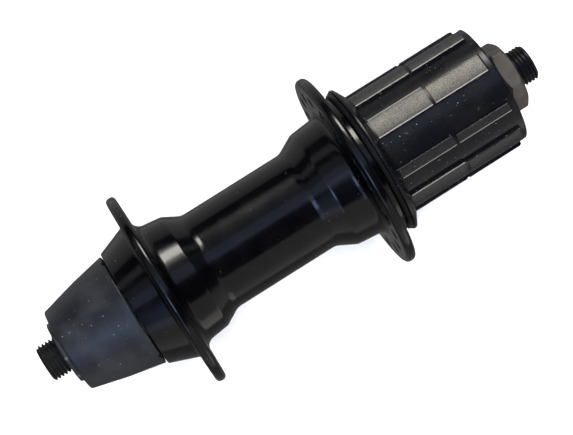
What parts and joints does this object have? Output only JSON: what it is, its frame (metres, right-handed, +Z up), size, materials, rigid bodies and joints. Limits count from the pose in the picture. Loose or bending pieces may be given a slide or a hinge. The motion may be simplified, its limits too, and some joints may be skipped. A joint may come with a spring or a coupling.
{
  "type": "rear bicycle hub",
  "caption": "Rear bicycle hub for a quick release, with two spoke flanges, ball bearings and a splined freehub that carries a cassette.",
  "frame": {"origin": "on the axle's axis, midway between the two locknut faces and between the axle's ends", "axes": "+Y along the axle to the plain side, so the cassette side is -Y; +Z up; with +X forward the wheel rolls forward about +Y"},
  "size_m": [0.0544, 0.146, 0.0544],
  "materials": {
    "shell_black": "gloss black anodised over fine turning marks",
    "driver_black": "dark plated steel, scratched by the cassette",
    "axle_black": "black oxide steel, rolled thread",
    "nut_steel": "dull plated steel with a few rust specks",
    "locknut_black": "black plated steel, scuffed at its edge",
    "boot_rubber": "matte dark rubber with dust",
    "seal_rubber": "satin black rubber",
    "bearing_steel": "polished bearing steel",
    "ground_steel": "ground and hardened steel",
    "cap_steel": "pressed plated steel",
    "spring_steel": "drawn spring wire"
  },
  "bodies": {
    "axle_set": {"hollow_axle": "axle_black", "left_cone": "ground_steel", "left_cone_shield": "cap_steel", "left_lock_washer": "nut_steel", "left_spacer": "nut_steel", "left_locknut": "locknut_black", "left_seal_boot": "boot_rubber", "right_cone": "ground_steel", "right_cone_shield": "cap_steel", "right_lock_washer": "nut_steel", "right_locknut": "nut_steel"},
    "shell": {"hub_shell": "shell_black", "left_bearing_cup": "ground_steel", "left_dust_cap": "cap_steel", "freehub_fixing_bolt": "ground_steel", "freehub_core": "ground_steel", "freehub_shims": "cap_steel", "freehub_bearing_cup": "ground_steel", "freehub_dust_cap": "cap_steel", "pawl_spring": "spring_steel"},
    "driver": {"freehub_driver": "driver_black", "freehub_seal_ring": "seal_rubber"},
    "pawl_one": {"pawl_a": "ground_steel"},
    "pawl_two": {"pawl_b": "ground_steel"},
    "left_balls": {"left_bearing_balls": "bearing_steel"},
    "right_balls": {"right_bearing_balls": "bearing_steel"},
    "inboard_balls": {"freehub_balls_inboard": "bearing_steel"},
    "outboard_balls": {"freehub_balls_outboard": "bearing_steel"}
  },
  "joints": [
    {"name": "hub_spin", "type": "hinge", "parent": "axle_set", "child": "shell", "pos_m": [0, 0, 0], "axis": [0, 1, 0], "continuous": true},
    {"name": "freehub_spin", "type": "hinge", "parent": "shell", "child": "driver", "pos_m": [0, 0, 0], "axis": [0, 1, 0], "continuous": true},
    {"name": "left_balls_roll", "type": "hinge", "parent": "axle_set", "child": "left_balls", "pos_m": [0, 0, 0], "axis": [0, 1, 0], "continuous": true},
    {"name": "right_balls_roll", "type": "hinge", "parent": "axle_set", "child": "right_balls", "pos_m": [0, 0, 0], "axis": [0, 1, 0], "continuous": true},
    {"name": "inboard_balls_roll", "type": "hinge", "parent": "shell", "child": "inboard_balls", "pos_m": [0, 0, 0], "axis": [0, 1, 0], "continuous": true},
    {"name": "outboard_balls_roll", "type": "hinge", "parent": "shell", "child": "outboard_balls", "pos_m": [0, 0, 0], "axis": [0, 1, 0], "continuous": true},
    {"name": "pawl_a_lift", "type": "hinge", "parent": "shell", "child": "pawl_one", "pos_m": [0.01053, -0.0341, 0.00383], "axis": [0, 1, 0], "range_deg": [0, 10]},
    {"name": "pawl_b_lift", "type": "hinge", "parent": "shell", "child": "pawl_two", "pos_m": [-0.01053, -0.0341, -0.00383], "axis": [0, 1, 0], "range_deg": [0, 10]}
  ],
  "couplings": [
    {"joint": "left_balls_roll", "follows": "hub_spin", "ratio": 0.6123},
    {"joint": "right_balls_roll", "follows": "hub_spin", "ratio": 0.6123},
    {"joint": "inboard_balls_roll", "follows": "freehub_spin", "ratio": 0.5435},
    {"joint": "outboard_balls_roll", "follows": "freehub_spin", "ratio": 0.5435},
    {"joint": "pawl_b_lift", "follows": "pawl_a_lift", "ratio": 1}
  ]
}
